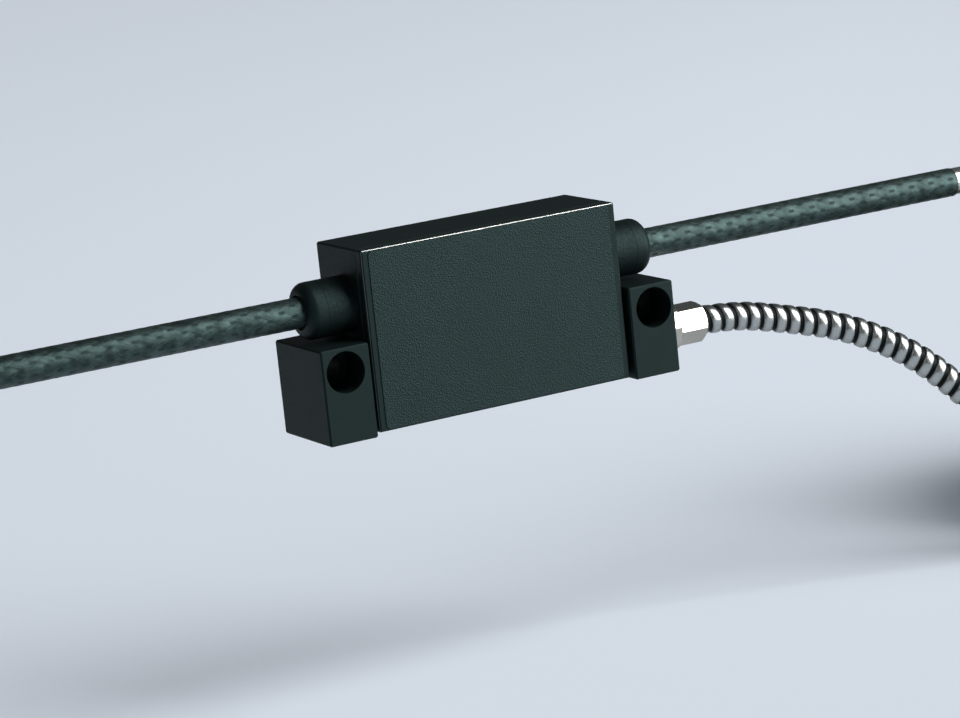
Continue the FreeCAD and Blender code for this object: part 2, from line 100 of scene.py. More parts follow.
# camera, floor and lights
photoCamera = {
    "place": (-294.31, -559.02, 121.17),  # mm
    "turn": (78.507, 5.883, -29.334),  # degrees
    "lens": 128.24,
    "sensor": 36.0,
    "clip": (0.01, 50),  # m
}
studio = {
    "floorHeight": -62.5,  # mm, where the coil's tie lies
    "floorSize": 16000,
    "floorColour": (0.64, 0.69, 0.76),
    "floorRoughness": 0.9,
    # from and to in m, and the values there
    "floorLift": (-1.0, 2.2, 0.0, 0.5),  # strength, by how far behind the object
    "floorShade": (0.0, 1.6, 1.0, 0.26),  # share of the colour, by how far towards the key lamp
    "worldColour": (0.09, 0.10, 0.105),
}
lamps = {
    "keySoftbox": {
        "place": (1412, -1160, 1850),  # mm
        "aim": (942, -600, 1850),
        "size": (1550, 3820),
        "power": 128.0,
        "spread": 170,  # degrees
    },
    "fillSoftbox": {
        "place": (-900, -700, 700),
        "aim": (20, -10, 0),
        "size": (600, 600),
        "power": 1.2,
        "spread": 160,
    },
}


def setCamera():
    data = bpy.data.cameras.new("photoCamera")
    data.sensor_fit = "HORIZONTAL"
    data.sensor_width = photoCamera["sensor"]
    data.lens = photoCamera["lens"]
    data.clip_start, data.clip_end = photoCamera["clip"]
    camera = bpy.data.objects.new("photoCamera", data)
    camera.location = Vector(photoCamera["place"]) * mm
    camera.rotation_euler = [math.radians(angle) for angle in photoCamera["turn"]]
    scene.collection.objects.link(camera)
    scene.camera = camera


def addSoftbox(name, lamp):
    data = bpy.data.lights.new(name, "AREA")
    data.shape = "RECTANGLE"
    data.size, data.size_y = [side * mm for side in lamp["size"]]
    data.energy = lamp["power"]
    data.spread = math.radians(lamp["spread"])
    softbox = bpy.data.objects.new(name, data)
    softbox.location = Vector(lamp["place"]) * mm
    heading = Vector(lamp["aim"]) * mm - softbox.location
    softbox.rotation_euler = heading.to_track_quat("-Z", "Y").to_euler()
    scene.collection.objects.link(softbox)


def setStudio():
    world = bpy.data.worlds.new("studioWorld")
    world.use_nodes = True
    world.node_tree.nodes["Background"].inputs["Color"].default_value = (*studio["worldColour"], 1)
    scene.world = world
    for name, lamp in lamps.items():
        addSoftbox(name, lamp)
    half, height = studio["floorSize"] / 2 * mm, studio["floorHeight"] * mm
    mesh = bpy.data.meshes.new("floor")
    corners = [(-half, -half, height), (half, -half, height), (half, half, height), (-half, half, height)]
    mesh.from_pydata(corners, [], [(0, 1, 2, 3)])
    floor = bpy.data.objects.new("floor", mesh)
    scene.collection.objects.link(floor)
    mesh.materials.append(paperFloor())


def paperFloor():
    # pale paper, lifted behind the object for the camera and reflections, without lighting the object
    paper = bpy.data.materials.new("paperFloor")
    paper.use_nodes = True
    tree = paper.node_tree
    shader = tree.nodes["Principled BSDF"]
    shader.inputs["Roughness"].default_value = studio["floorRoughness"]
    shader.inputs["Specular IOR Level"].default_value = 0.0
    shader.inputs["Emission Color"].default_value = (*studio["floorColour"], 1)
    spot = put(tree, "ShaderNodeTexCoord")["Object"]
    lampSide = Vector((*lamps["keySoftbox"]["place"][:2], 0)).normalized()
    feeds = {0: spot, 1: lampSide}
    towards = put(tree, "ShaderNodeVectorMath", {"operation": "DOT_PRODUCT"}, feeds)["Value"]
    shade = graded(tree, towards, studio["floorShade"])
    tree.links.new(scaled(tree, studio["floorColour"], shade), shader.inputs["Base Color"])
    rays = put(tree, "ShaderNodeLightPath")
    seen = calc(tree, "MAXIMUM", rays["Is Camera Ray"],
                calc(tree, "MAXIMUM", rays["Is Glossy Ray"], rays["Is Transmission Ray"]))
    behind = put(tree, "ShaderNodeSeparateXYZ", {}, {"Vector": spot})["Y"]
    lift = calc(tree, "MULTIPLY", seen, graded(tree, behind, studio["floorLift"]))
    tree.links.new(lift, shader.inputs["Emission Strength"])
    return paper


setCamera()
setStudio()
print("camera and studio set")


def startTree(name, inputs):
    tree = bpy.data.node_groups.new(name, "GeometryNodeTree")
    tree.interface.new_socket("Geometry", in_out="INPUT", socket_type="NodeSocketGeometry")
    for label, kind in inputs.items():
        tree.interface.new_socket(label, in_out="INPUT", socket_type="NodeSocket" + kind)
    tree.interface.new_socket("Geometry", in_out="OUTPUT", socket_type="NodeSocketGeometry")
    return tree, tree.nodes.new("NodeGroupInput").outputs


def endTree(tree, geometry, finish):
    real = put(tree, "GeometryNodeRealizeInstances", {}, {"Geometry": geometry})["Geometry"]
    painted = put(tree, "GeometryNodeSetMaterial", {}, {"Geometry": real, "Material": finish})["Geometry"]
    tree.links.new(painted, tree.nodes.new("NodeGroupOutput").inputs["Geometry"])


def grown(holder, tree, values, name):
    # runs a tree on a helper object and keeps the result as a plain mesh piece
    modifier = holder.modifiers.new(tree.name, "NODES")
    modifier.node_group = tree
    for item in tree.interface.items_tree:
        if item.in_out == "INPUT" and item.name in values:
            modifier[item.identifier] = values[item.name]
    depsgraph = bpy.context.evaluated_depsgraph_get()
    mesh = bpy.data.meshes.new_from_object(holder.evaluated_get(depsgraph), depsgraph=depsgraph)
    mesh.name = name
    bpy.data.objects.remove(holder)
    return placed(name, mesh)


def placed(name, mesh):
    piece = bpy.data.objects.new(name, mesh)
    scene.collection.objects.link(piece)
    return piece


def settle(piece, body, finish=None, stands=()):
    # finish and body of a piece, and the CAD nodes that it stands for, which are hidden
    if finish:
        piece.data.materials.clear()
        piece.data.materials.append(finish)
    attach(piece, body)
    if stands:
        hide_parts(*stands)
    return piece


def smoothed(piece, crease=35):
    # smooth shading, with edges past so many degrees kept sharp
    piece.data.shade_smooth()
    piece.data.set_sharp_from_angle(angle=math.radians(crease))
    return piece


def middleOf(node):
    low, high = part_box(node)
    return [(a + b) / 2 for a, b in zip(low, high)]


def radiusOf(node):
    low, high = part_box(node)
    return (high[2] - low[2]) / 2


# finishes
sheen = (0.60, 1.0, 0.98)  # the black surfaces shine a little green
noiseRange = (0.25, 0.75)  # where most of a noise texture's values lie


def startFinish(name, colour, roughness, metal=0.0, specular=0.5):
    finish = bpy.data.materials.new(name)
    finish.use_nodes = True
    tree = finish.node_tree
    shader = tree.nodes["Principled BSDF"]
    shader.inputs["Base Color"].default_value = (*colour, 1)
    shader.inputs["Roughness"].default_value = roughness
    shader.inputs["Metallic"].default_value = metal
    shader.inputs["Specular IOR Level"].default_value = specular
    shader.inputs["Specular Tint"].default_value = (*(sheen if metal == 0 else (1, 1, 1)), 1)
    place = put(tree, "ShaderNodeTexCoord")["Object"]
    return finish, tree, shader, place


def grain(tree, place, scale, detail=3.0):
    feeds = {"Vector": place, "Scale": scale, "Detail": detail}
    return put(tree, "ShaderNodeTexNoise", {}, feeds)["Fac"]


def between(tree, amount, low, high):
    return graded(tree, amount, (*noiseRange, low, high))


def tinted(tree, amount, dark, light):
    ramp = tree.nodes.new("ShaderNodeMix")
    ramp.data_type = "RGBA"
    feed(tree, ramp.inputs["Factor"], amount)
    colours = [socket for socket in ramp.inputs if socket.type == "RGBA"]
    colours[0].default_value = (*dark, 1)
    colours[1].default_value = (*light, 1)
    return [socket for socket in ramp.outputs if socket.type == "RGBA"][0]


def roughen(tree, shader, height, depth, strength=1.0):
    feeds = {"Height": height, "Distance": depth, "Strength": strength}
    normal = put(tree, "ShaderNodeBump", {}, feeds)["Normal"]
    tree.links.new(normal, shader.inputs["Normal"])


def grainyFinish(name, colour, roughness, grainScale, depth, metal=0.0, specular=0.5, shade=0.78):
    # a colour that varies a little, with fine grain in gloss and surface
    finish, tree, shader, place = startFinish(name, colour, roughness[0], metal, specular)
    fine = grain(tree, place, grainScale)
    broad = grain(tree, place, grainScale / 14, 2.0)
    dark = tuple(part * shade for part in colour)
    tree.links.new(tinted(tree, between(tree, broad, 0, 1), dark, colour), shader.inputs["Base Color"])
    tree.links.new(between(tree, fine, *roughness), shader.inputs["Roughness"])
    roughen(tree, shader, fine, depth * mm)
    return finish


def plainMetal(name, colour, roughness, grainScale=1800.0, depth=0.004):
    return grainyFinish(name, colour, roughness, grainScale, depth, metal=1.0, shade=0.86)


labelSheet = {
    "dark": (0.003, 0.006, 0.006),
    "light": (0.004, 0.008, 0.008),
    "specular": 0.30,
    "roughness": (0.46, 0.60),
    "pebbles": 3600.0,  # per m
    "pebbleDepth": 0.08,  # mm
    "clouds": 90.0,  # per m, between dark and light
}


def labelFinish():
    # pebbled sheet
    look = labelSheet
    finish, tree, shader, place = startFinish("pebbledLabel", look["light"], 0.5, 0.0, look["specular"])
    feeds = {"Vector": place, "Scale": look["pebbles"], "Smoothness": 0.5}
    cells = put(tree, "ShaderNodeTexVoronoi", {"feature": "SMOOTH_F1"}, feeds)["Distance"]
    clouds = between(tree, grain(tree, place, look["clouds"], 2.0), 0, 1)
    tree.links.new(tinted(tree, clouds, look["dark"], look["light"]), shader.inputs["Base Color"])
    tree.links.new(between(tree, cells, *look["roughness"]), shader.inputs["Roughness"])
    roughen(tree, shader, cells, look["pebbleDepth"] * mm)
    return finish


rodAxis = (0, middleOf("scale_tube")[1], middleOf("scale_tube")[2])
braid = {
    "tows": 8.0,  # in each direction
    "lead": 38.4,  # mm for one turn of a tow
    "relief": 0.078,
    "wall": 0.3,
    "rows": 740,
    "columns": 81,
    "dark": (0.003, 0.005, 0.005),
    "light": (0.034, 0.050, 0.046),
    "specular": 0.45,
    "shades": (0.1, 1.0),
    "filaments": (7, 0.8),  # grain across and along a tow
    "patches": 420.0,  # per m, where more or less resin lies
    "gapShadeEdges": (0.40, 0.66),  # how near to a corner the painted gap shade begins, and where it is full
    # how strong the painted gap shade is, varied by the patches
    "gapShadeStrength": (0.2, 0.8),
    "gapRoughness": 0.3,
    "gapShine": 0.34,
    "strandRoughness": (0.36, 0.52),
    "strandShine": (0.60, 1.22),
    "patchShine": (0.27, 0.74),
    "leastShine": 0.04,
    "strandDepth": 0.03,  # mm
}


def braidFinish():
    # resin-bound tows that cross over and under; painted shade darkens the gaps where four of them meet and
    # takes shine from them
    finish, tree, shader, place = startFinish("carbonBraid", braid["light"], 0.44, 0.0, braid["specular"])

    def m(operation, *values):
        return calc(tree, operation, *values)

    spot = put(tree, "ShaderNodeSeparateXYZ", {}, {"Vector": place})
    turn = m("ARCTAN2", m("SUBTRACT", spot["Z"], rodAxis[2]), m("SUBTRACT", spot["Y"], rodAxis[1]))
    around, climb = m("DIVIDE", turn, 2 * math.pi), m("DIVIDE", spot["X"], braid["lead"] * mm)
    right = m("MULTIPLY", m("SUBTRACT", around, climb), braid["tows"])
    left = m("MULTIPLY", m("ADD", around, climb), braid["tows"])
    over = m("FLOORED_MODULO", m("ADD", m("FLOOR", right), m("FLOOR", left)), 2)
    halves = [m("MULTIPLY", m("FRACT", value), 2) for value in (right, left)]
    sides = [m("ABSOLUTE", m("SUBTRACT", value, 1)) for value in halves]
    corner = graded(tree, m("MULTIPLY", *sides), (*braid["gapShadeEdges"], 0, 1))
    # filaments run along whichever tow is on top
    across = m("ADD", m("MULTIPLY", left, over), m("MULTIPLY", right, m("SUBTRACT", 1, over)))
    along = m("ADD", m("MULTIPLY", right, over), m("MULTIPLY", left, m("SUBTRACT", 1, over)))
    crossGrain, longGrain = braid["filaments"]
    feeds = {"X": m("MULTIPLY", across, crossGrain), "Y": m("MULTIPLY", along, longGrain), "Z": over}
    lie = put(tree, "ShaderNodeCombineXYZ", {}, feeds)["Vector"]
    strands = grain(tree, lie, 1.0, 4.0)
    patches = grain(tree, place, braid["patches"], 2.0)
    # painted shade in the gaps between tows: darker colour, less shine
    paintedGapShade = m("MULTIPLY", corner, between(tree, patches, *braid["gapShadeStrength"]))
    shade = m("MULTIPLY", *[between(tree, noise, *braid["shades"]) for noise in (strands, patches)])
    shade = m("MULTIPLY", shade, m("SUBTRACT", 1, paintedGapShade))
    tree.links.new(tinted(tree, shade, braid["dark"], braid["light"]), shader.inputs["Base Color"])
    gloss = between(tree, strands, *braid["strandRoughness"])
    gloss = m("ADD", gloss, m("MULTIPLY", paintedGapShade, braid["gapRoughness"]))
    tree.links.new(gloss, shader.inputs["Roughness"])
    shine = m("MULTIPLY", between(tree, patches, *braid["patchShine"]),
              between(tree, strands, *braid["strandShine"]))
    shine = m("SUBTRACT", shine, m("MULTIPLY", paintedGapShade, braid["gapShine"]))
    tree.links.new(m("MAXIMUM", shine, braid["leastShine"]), shader.inputs["Specular IOR Level"])
    roughen(tree, shader, strands, braid["strandDepth"] * mm, 0.6)
    return finish


stripMetal = {
    "crown": (0.40, 0.42, 0.41),
    # painted shade: the colour deep down in the grooves between turns
    "groove": (0.012, 0.014, 0.014),
    "roughness": (0.22, 0.34),
    "grooveRoughness": 0.3,  # more than on the crown
    "grain": 1500.0,  # per m
    "grainDepth": 0.004,  # mm
}


def stripFinish():
    # bright rolled strip, rougher down in the grooves between turns, with painted shade there: the colour
    # darkens towards the groove colour with depth below the crown
    look = stripMetal
    finish, tree, shader, place = startFinish("conduitStrip", look["crown"], 0.28, 1.0)
    sunk = put(tree, "ShaderNodeAttribute", {"attribute_name": "sunk"})["Fac"]
    fine = grain(tree, place, look["grain"])
    # painted shade, darker the deeper the strip lies below its crown
    tree.links.new(tinted(tree, sunk, look["crown"], look["groove"]), shader.inputs["Base Color"])
    dull = calc(tree, "MULTIPLY", sunk, look["grooveRoughness"])
    gloss = calc(tree, "ADD", between(tree, fine, *look["roughness"]), dull)
    tree.links.new(gloss, shader.inputs["Roughness"])
    roughen(tree, shader, fine, look["grainDepth"] * mm)
    return finish


strap = {
    "dark": (0.006, 0.006, 0.007),
    "light": (0.03, 0.03, 0.032),
    "specular": 0.3,
    "roughness": (0.62, 0.8),
    "thread": 0.9,  # mm over one thread and under the next
    "fuzz": 5200.0,  # per m
    "depth": 0.12,  # mm
}


def strapFinish():
    # woven strap, threads over and under in every direction
    finish, tree, shader, place = startFinish("tieStrap", strap["light"], 0.7, 0.0, strap["specular"])
    spot = put(tree, "ShaderNodeSeparateXYZ", {}, {"Vector": place})
    turns = 2 * math.pi / (strap["thread"] * mm)
    waves = [calc(tree, "SINE", calc(tree, "MULTIPLY", spot[way], turns)) for way in "XYZ"]
    first, second, third = [calc(tree, "MULTIPLY", waves[a], waves[b]) for a, b in ((0, 1), (1, 2), (2, 0))]
    weave = calc(tree, "ADD", calc(tree, "ADD", first, second), third)
    raised = graded(tree, weave, (-1.0, 1.0, 0.0, 1.0))
    fuzz = grain(tree, place, strap["fuzz"])
    tree.links.new(tinted(tree, raised, strap["dark"], strap["light"]), shader.inputs["Base Color"])
    tree.links.new(between(tree, fuzz, *strap["roughness"]), shader.inputs["Roughness"])
    height = calc(tree, "ADD", raised, calc(tree, "MULTIPLY", fuzz, 0.5))
    roughen(tree, shader, height, strap["depth"] * mm, 0.8)
    return finish


# black coating of the casting and its cover
coating = {
    "colour": (0.003, 0.0055, 0.0055),
    "specular": 0.22,
    "grain": 3200.0,  # per m
}
# each finish: name, colour, least and most roughness, grain per m and its depth in mm
finishes = {
    "head_coating": grainyFinish("blackCoating", coating["colour"], (0.50, 0.62), coating["grain"], 0.014,
                                 specular=coating["specular"]),
    "label_sheet": labelFinish(),
    "seal_rubber": grainyFinish("sealRubber", (0.009, 0.009, 0.009), (0.70, 0.85), 2500.0, 0.02),
    "nose_polymer": grainyFinish("nosePolymer", (0.0035, 0.006, 0.006), (0.46, 0.60), 2600.0, 0.03,
                                 specular=0.20),
    "bush_polymer": grainyFinish("bushPolymer", (0.16, 0.15, 0.13), (0.35, 0.50), 1500.0, 0.01),
    "former_polymer": grainyFinish("formerPolymer", (0.70, 0.66, 0.55), (0.40, 0.55), 1500.0, 0.01),
    "winding_copper": plainMetal("enamelledCopper", (0.62, 0.27, 0.12), (0.25, 0.40)),
    "board_laminate": grainyFinish("boardLaminate", (0.020, 0.100, 0.045), (0.35, 0.50), 2200.0, 0.01),
    "chip_package": grainyFinish("chipPackage", (0.020, 0.020, 0.022), (0.50, 0.65), 3000.0, 0.01),
    "capacitor_body": grainyFinish("capacitorBody", (0.38, 0.27, 0.16), (0.40, 0.55), 3000.0, 0.01),
    "header_polymer": grainyFinish("headerPolymer", (0.65, 0.62, 0.54), (0.40, 0.55), 2000.0, 0.01),
    "cable_jacket": grainyFinish("cableJacket", (0.035, 0.035, 0.038), (0.45, 0.60), 2500.0, 0.02),
    "bright_nickel": plainMetal("brightNickel", (0.54, 0.52, 0.46), (0.10, 0.18)),
    "conduit_strip": stripFinish(),
    "tie_strap": strapFinish(),
    "hood_polymer": grainyFinish("hoodPolymer", (0.065, 0.068, 0.072), (0.42, 0.58), 2600.0, 0.03),
    "plated_shell": plainMetal("platedShell", (0.72, 0.71, 0.68), (0.20, 0.32)),
    "insulator_polymer": grainyFinish("insulatorPolymer", (0.020, 0.020, 0.022), (0.40, 0.55), 2500.0, 0.01),
    "gold_contact": plainMetal("goldContact", (0.86, 0.62, 0.24), (0.16, 0.26)),
    "carbon_braid": braidFinish(),
    "ball_steel": plainMetal("ballSteel", (0.70, 0.71, 0.72), (0.06, 0.12)),
    "plug_steel": plainMetal("plugSteel", (0.74, 0.73, 0.69), (0.16, 0.28)),
}
print("finishes made:", len(finishes))


# armoured conduit: lead, tied coil and tail along one route
conduit = {
    "diameter": 5.6,
    "pitch": 2.95,  # mm from one turn of the strip to the next
    "routeStep": 0.4,
    "fineSteps": 36,  # in one turn of the strip
    "coarseSteps": 10,
    "fineLength": 128.0,  # mm of lead that gets the finer strip
    "leadPoints": [
        (44.0, -10.5, -6.2), (54.0, -10.5, -6.2), (66.1, -11.9, -9.1), (78.4, -14.8, -12.6),
        (90.8, -19.2, -19.7), (100.6, -23.9, -30.3), (110.5, -29.2, -41.5), (120.8, -35.6, -52.5),
        (132.7, -43.9, -58.2),
    ],
    "tailPoints": [
        (144.6, -51.3, -29.3), (161.3, -57.7, -26.4), (178.2, -55.0, -23.0), (190.7, -45.0, -20.4),
        (197.0, -31.0, -19.5), (197.0, -17.0, -19.5),
    ],
    # strip section: mm along the conduit, and mm out from the crown
    "fineSection": [
        (-1.08, -0.42), (-1.02, -0.24), (-0.85, -0.09), (-0.45, 0.0), (0.45, 0.0), (0.85, -0.09),
        (1.02, -0.24), (1.08, -0.42), (1.98, -0.44), (1.98, -0.62), (-1.08, -0.62),
    ],
    "coarseSection": [
        (-1.08, -0.42), (-0.85, -0.04), (0.85, -0.04), (1.08, -0.42), (1.98, -0.52), (-1.08, -0.62),
    ],
    "groove": 0.32,  # mm below the crown where the painted groove shade is full
    "fit": 0.05,  # mm between the conduit and what holds its ends
    "crease": 50,  # degrees
}
coil = {
    "centre": (166.0, -19.5),
    "columns": (37.7, 32.0, 26.3),  # mm, radii of the three turns in a layer
    "layers": 6,
    "spacing": 5.7,
    "lowest": -58.45,  # height of the first layer's middle
    "startAngle": 238.0,
    "jogs": (270.0, 630.0, 930.0),  # degrees into a layer where the cord moves across or up
    "jogLength": 60.0,
    "layerAngle": 960.0,
    "step": 20.0,
}


def eased(value, start, length):
    share = min(max((value - start) / length, 0), 1)
    return share * share * (3 - 2 * share)


def coilPoint(turned, widen):
    # where the conduit is after so many degrees of winding
    layer = min(int(turned // coil["layerAngle"]), coil["layers"] - 1)
    within = turned - layer * coil["layerAngle"]
    radii = coil["columns"] if layer % 2 == 0 else coil["columns"][::-1]
    radius = radii[0]
    for jog, before, after in zip(coil["jogs"], radii, radii[1:]):
        radius += (after - before) * eased(within, jog, coil["jogLength"])
    climbs = [eased(turned, coil["jogs"][2] + n * coil["layerAngle"], coil["jogLength"])
              for n in range(coil["layers"] - 1)]
    angle = math.radians(coil["startAngle"] + turned)
    x = coil["centre"][0] + radius * widen * math.cos(angle)
    y = coil["centre"][1] + radius * widen * math.sin(angle)
    return x, y, coil["lowest"] + coil["spacing"] * sum(climbs)


def conduitRoute():
    total = (coil["layers"] - 1) * coil["layerAngle"] + coil["jogs"][2]
    steps = round(total / coil["step"])
    swing = math.radians(total / steps)
    widen = 1 / (0.75 + 0.25 * math.cos(swing))  # the spline runs inside its points
    wound = [coilPoint(total * n / steps, widen) for n in range(steps + 1)]
    points = conduit["leadPoints"] + wound + conduit["tailPoints"]
    curve = bpy.data.curves.new("conduitRoute", "CURVE")
    curve.dimensions = "3D"
    curve.resolution_u = 8
    spline = curve.splines.new("NURBS")
    spline.points.add(len(points) - 1)
    for point, place in zip(spline.points, points):
        point.co = (*(Vector(place) * mm), 1)
    spline.order_u = 3
    spline.use_endpoint_u = True
    route = bpy.data.objects.new("conduitRoute", curve)
    scene.collection.objects.link(route)
    return route


def sectionCurve(name, outline):
    # the strip's section: first coordinate outwards, second back along the conduit
    curve = bpy.data.curves.new(name, "CURVE")
    curve.dimensions = "3D"
    spline = curve.splines.new("POLY")
    spline.points.add(len(outline) - 1)
    for point, (along, out) in zip(spline.points, outline):
        point.co = (out * mm, -along * mm, 0, 1)
    spline.use_cyclic_u = True
    section = bpy.data.objects.new(name, curve)
    scene.collection.objects.link(section)
    return section


def stripTree():
    sizes = ("Pitch", "Radius", "Groove", "Route Step", "Fine Length", "Fine Steps", "Coarse Steps")
    inputs = {name: "Float" for name in sizes}
    inputs |= {"Fine Section": "Object", "Coarse Section": "Object", "Finish": "Material"}
    tree, given = startTree("woundStrip", inputs)
    smooth = put(tree, "GeometryNodeResampleCurve", {"mode": "LENGTH"},
                 {"Curve": given["Geometry"], "Length": given["Route Step"]})["Curve"]
    line = put(tree, "GeometryNodeSetCurveNormal", {"mode": "MINIMUM_TWIST"}, {"Curve": smooth})["Curve"]
    stored = {
        "along": ("FLOAT", put(tree, "GeometryNodeSplineParameter")["Length"]),
        "side": ("FLOAT_VECTOR", put(tree, "GeometryNodeInputNormal")["Normal"]),
        "heading": ("FLOAT_VECTOR", put(tree, "GeometryNodeInputTangent")["Tangent"]),
    }
    known = {}
    for name, (kind, value) in stored.items():
        feeds = {"Geometry": line, "Name": name, "Value": value}
        modes = {"data_type": kind, "domain": "POINT"}
        line = put(tree, "GeometryNodeStoreNamedAttribute", modes, feeds)["Geometry"]
        read = put(tree, "GeometryNodeInputNamedAttribute", {"data_type": kind}, {"Name": name})
        known[name] = read["Attribute"]
    turn = calc(tree, "MULTIPLY", calc(tree, "DIVIDE", known["along"], given["Pitch"]), 2 * math.pi)
    across = calcVector(tree, "CROSS_PRODUCT", known["heading"], known["side"])
    outward = calcVector(tree, "ADD", scaled(tree, known["side"], calc(tree, "COSINE", turn)),
                         scaled(tree, across, calc(tree, "SINE", turn)))
    outward = calcVector(tree, "NORMALIZE", outward)
    place = put(tree, "GeometryNodeInputPosition")["Position"]
    out = put(tree, "ShaderNodeSeparateXYZ", {}, {"Vector": place})["X"]
    # sunk: 0 on the crown, 1 from the groove depth down; the finish paints shade and adds roughness by it
    sunk = calc(tree, "MINIMUM", calc(tree, "DIVIDE", calc(tree, "MULTIPLY", out, -1), given["Groove"]), 1)
    beyond = 100.0  # m, past the end of the route
    strips = []
    for start, end, steps, section in ((0.0, given["Fine Length"], "Fine Steps", "Fine Section"),
                                       (given["Fine Length"], beyond, "Coarse Steps", "Coarse Section")):
        ends = {"Curve": line, 4: start, 5: end}  # sockets 4 and 5 are the ends as lengths
        stretch = put(tree, "GeometryNodeTrimCurve", {"mode": "LENGTH"}, ends)["Curve"]
        step = calc(tree, "DIVIDE", given["Pitch"], given[steps])
        spaced = put(tree, "GeometryNodeResampleCurve", {"mode": "LENGTH"},
                     {"Curve": stretch, "Length": step})["Curve"]
        wound = put(tree, "GeometryNodeSetPosition", {},
                    {"Geometry": spaced, "Offset": scaled(tree, outward, given["Radius"])})["Geometry"]
        facing = put(tree, "GeometryNodeSetCurveNormal", {"mode": "FREE"},
                     {"Curve": wound, "Normal": outward})["Curve"]
        profile = put(tree, "GeometryNodeObjectInfo", {}, {"Object": given[section]})["Geometry"]
        profile = put(tree, "GeometryNodeStoreNamedAttribute", {"data_type": "FLOAT", "domain": "POINT"},
                      {"Geometry": profile, "Name": "sunk", "Value": sunk})["Geometry"]
        strips.append(put(tree, "GeometryNodeCurveToMesh", {},
                          {"Curve": facing, "Profile Curve": profile, "Fill Caps": True})["Mesh"])
    joined = tree.nodes.new("GeometryNodeJoinGeometry")
    for strip in reversed(strips):
        tree.links.new(strip, joined.inputs["Geometry"])
    endTree(tree, joined.outputs["Geometry"], given["Finish"])
    return tree


def makeConduit():
    route = conduitRoute()
    bare = bpy.data.meshes.new_from_object(route)
    line = [vertex.co.copy() for vertex in bare.vertices]
    length = sum((b - a).length for a, b in zip(line, line[1:]))
    sections = [sectionCurve(name, conduit[name]) for name in ("fineSection", "coarseSection")]
    values = {
        "Pitch": conduit["pitch"] * mm,
        "Radius": conduit["diameter"] / 2 * mm,
        "Groove": conduit["groove"] * mm,
        "Route Step": conduit["routeStep"] * mm,
        "Fine Length": conduit["fineLength"] * mm,
        "Fine Steps": float(conduit["fineSteps"]),
        "Coarse Steps": float(conduit["coarseSteps"]),
        "Fine Section": sections[0],
        "Coarse Section": sections[1],
        "Finish": finishes["conduit_strip"],
    }
    piece = grown(route, stripTree(), values, "conduit_armour")
    for section in sections:
        bpy.data.objects.remove(section)
    bpy.data.meshes.remove(bare)
    smoothed(piece, conduit["crease"])
    settle(piece, "reader_head", None, ("conduit_lead", "conduit_coil", "conduit_tail"))
    print("conduit:", round(length, 3), "m,", len(piece.data.polygons), "faces")
    return piece, line, length


conduitArmour, conduitLine, conduitLength = makeConduit()


# pieces cut on a lathe, and pieces dressed from the CAD solids
def bend(centre, radius, start, end, parts):
    # points on an arc, angles in degrees
    angles = [math.radians(start + (end - start) * n / parts) for n in range(parts + 1)]
    return [(centre[0] + radius * math.cos(a), centre[1] + radius * math.sin(a)) for a in angles]


def spun(name, outline, centre, axis="X", steps=96, form=None, start=0.0):
    # outline: (along the axis, radius) in metres, either a closed section or from pole to pole,
    # and a third value where the form makes the ring other than round
    shape = bmesh.new()
    middle, up = Vector(centre), Vector((0, 0, 1))
    forward, across = Vector((1, 0, 0)), Vector((0, 1, 0))
    if axis == "Y":
        forward, across = across, forward
    loops = []
    for along, radius, *cut in outline:
        loop = []
        for n in range(steps if radius > 0 else 1):
            turn = start + 2 * math.pi * n / steps
            out = form(turn, radius, *cut) if cut else radius
            spot = middle + forward * along + (across * math.cos(turn) + up * math.sin(turn)) * out
            loop.append(shape.verts.new(spot))
        loops.append(loop)
    pairs = list(zip(loops, loops[1:]))
    if len(loops[0]) > 1:
        pairs.append((loops[-1], loops[0]))
    for near, far in pairs:
        for n in range(steps):
            corners = [near[n % len(near)], near[(n + 1) % len(near)]]
            corners += [far[(n + 1) % len(far)], far[n % len(far)]]
            shape.faces.new(list(dict.fromkeys(corners)))
    bmesh.ops.recalc_face_normals(shape, faces=shape.faces)
    mesh = bpy.data.meshes.new(name)
    shape.to_mesh(mesh)
    shape.free()
    return smoothed(placed(name, mesh), crease=25)


def dressed(node, name, rounding, segments=2):
    # a merged copy of a CAD solid with its edges softened
    mesh = cadNodes[node].data.copy()
    mesh.name = name
    shape = bmesh.new()
    shape.from_mesh(mesh)
    bmesh.ops.remove_doubles(shape, verts=shape.verts, dist=weld)
    bmesh.ops.dissolve_limit(shape, angle_limit=math.radians(1), verts=shape.verts, edges=shape.edges)
    shape.to_mesh(mesh)
    shape.free()
    piece = smoothed(placed(name, mesh))
    soften = piece.modifiers.new("softEdges", "BEVEL")
    soften.width = rounding * mm
    soften.segments = segments
    soften.limit_method = "ANGLE"
    soften.angle_limit = math.radians(30)
    flatten = piece.modifiers.new("flatFaces", "WEIGHTED_NORMAL")
    flatten.weight = 100
    return piece


# reader head: casting, cover with its bare edge, pebbled label
head = {
    "castRounding": 0.12,
    "coverRounding": 0.2,
    "labelRounding": 0.04,
    "wear": 0.245,  # mm of bare metal along the cover's upper front edge
    "leftWear": 0.14,  # how far the metal shows through down the left edge
    "bareMetal": (0.70, 0.70, 0.67),
    "barePolish": 0.26,  # less rough than the coating
    "coverRoughness": (0.48, 0.60),
    "coverGrain": 0.02,  # mm
}


